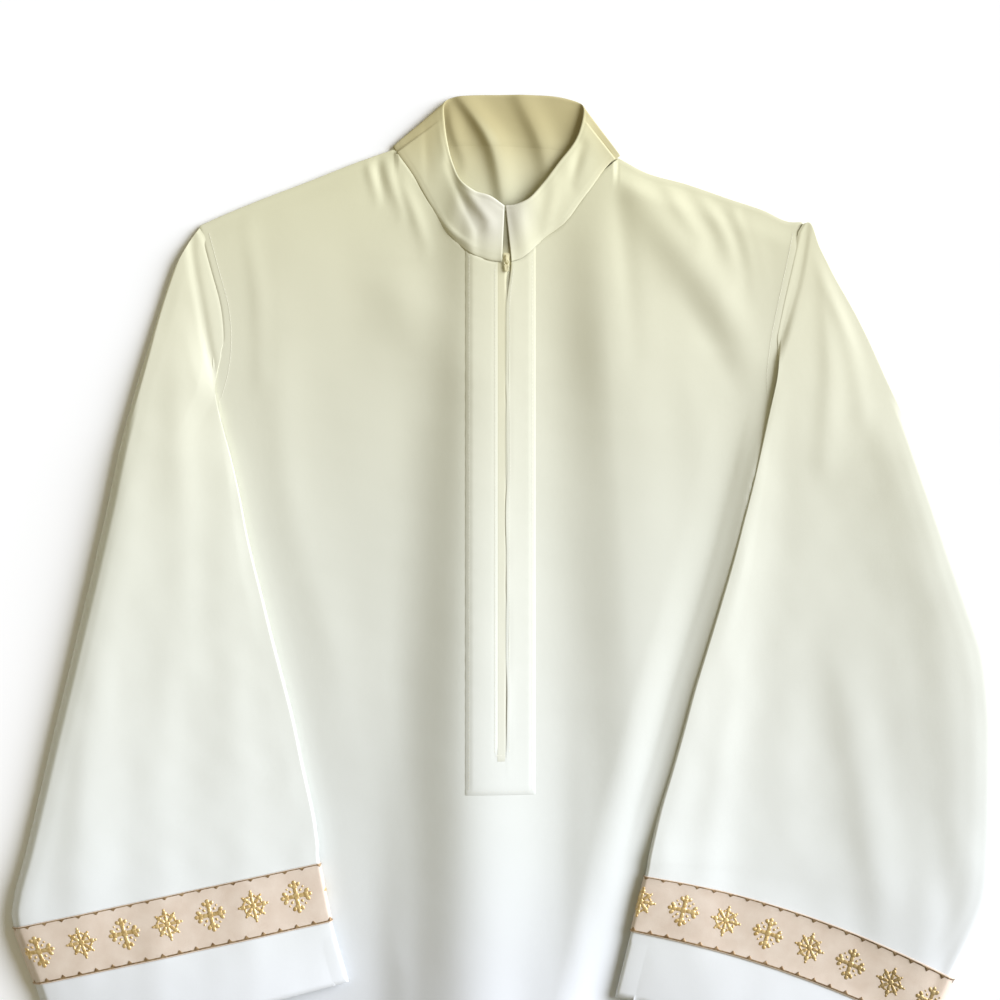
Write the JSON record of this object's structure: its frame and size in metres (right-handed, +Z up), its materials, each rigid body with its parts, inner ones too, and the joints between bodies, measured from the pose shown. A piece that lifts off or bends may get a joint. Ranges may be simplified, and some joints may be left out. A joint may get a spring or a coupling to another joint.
{
  "type": "alb robe",
  "caption": "Full-length alb laid flat on its back, with stand collar, zipped front placket and wide set-in sleeves trimmed with a patterned galloon ribbon.",
  "frame": {"origin": "centre of the bounding box at the underside of the back, on the surface that the robe lies on", "axes": "+Z up from the surface, out of the robe's front; +Y from hem to collar; +X to the wearer's left"},
  "size_m": [0.8105, 1.4496, 0.023],
  "materials": {
    "cloth": "smooth poly-cotton, matt, cream white",
    "galloon": "woven ribbon, pinkish beige with metallic gold figures",
    "zip_tape": "woven zip tape",
    "zip_metal": "cream enamel"
  },
  "bodies": {
    "robe": {"front": "cloth", "back": "cloth", "placket": "cloth", "collar": "cloth", "sleeve_right": "cloth", "sleeve_left": "cloth", "galloon_right": "galloon", "galloon_left": "galloon", "zip_tape": "zip_tape", "zip_slider": "zip_metal"},
    "pull": {"pull_tab": "zip_metal"}
  },
  "joints": [
    {"name": "pull_tab_hinge", "type": "hinge", "parent": "robe", "child": "pull", "pos_m": [0.0004, 0.589, 0.01179], "axis": [-1, 0, 0], "range_deg": [0, 170]}
  ]
}
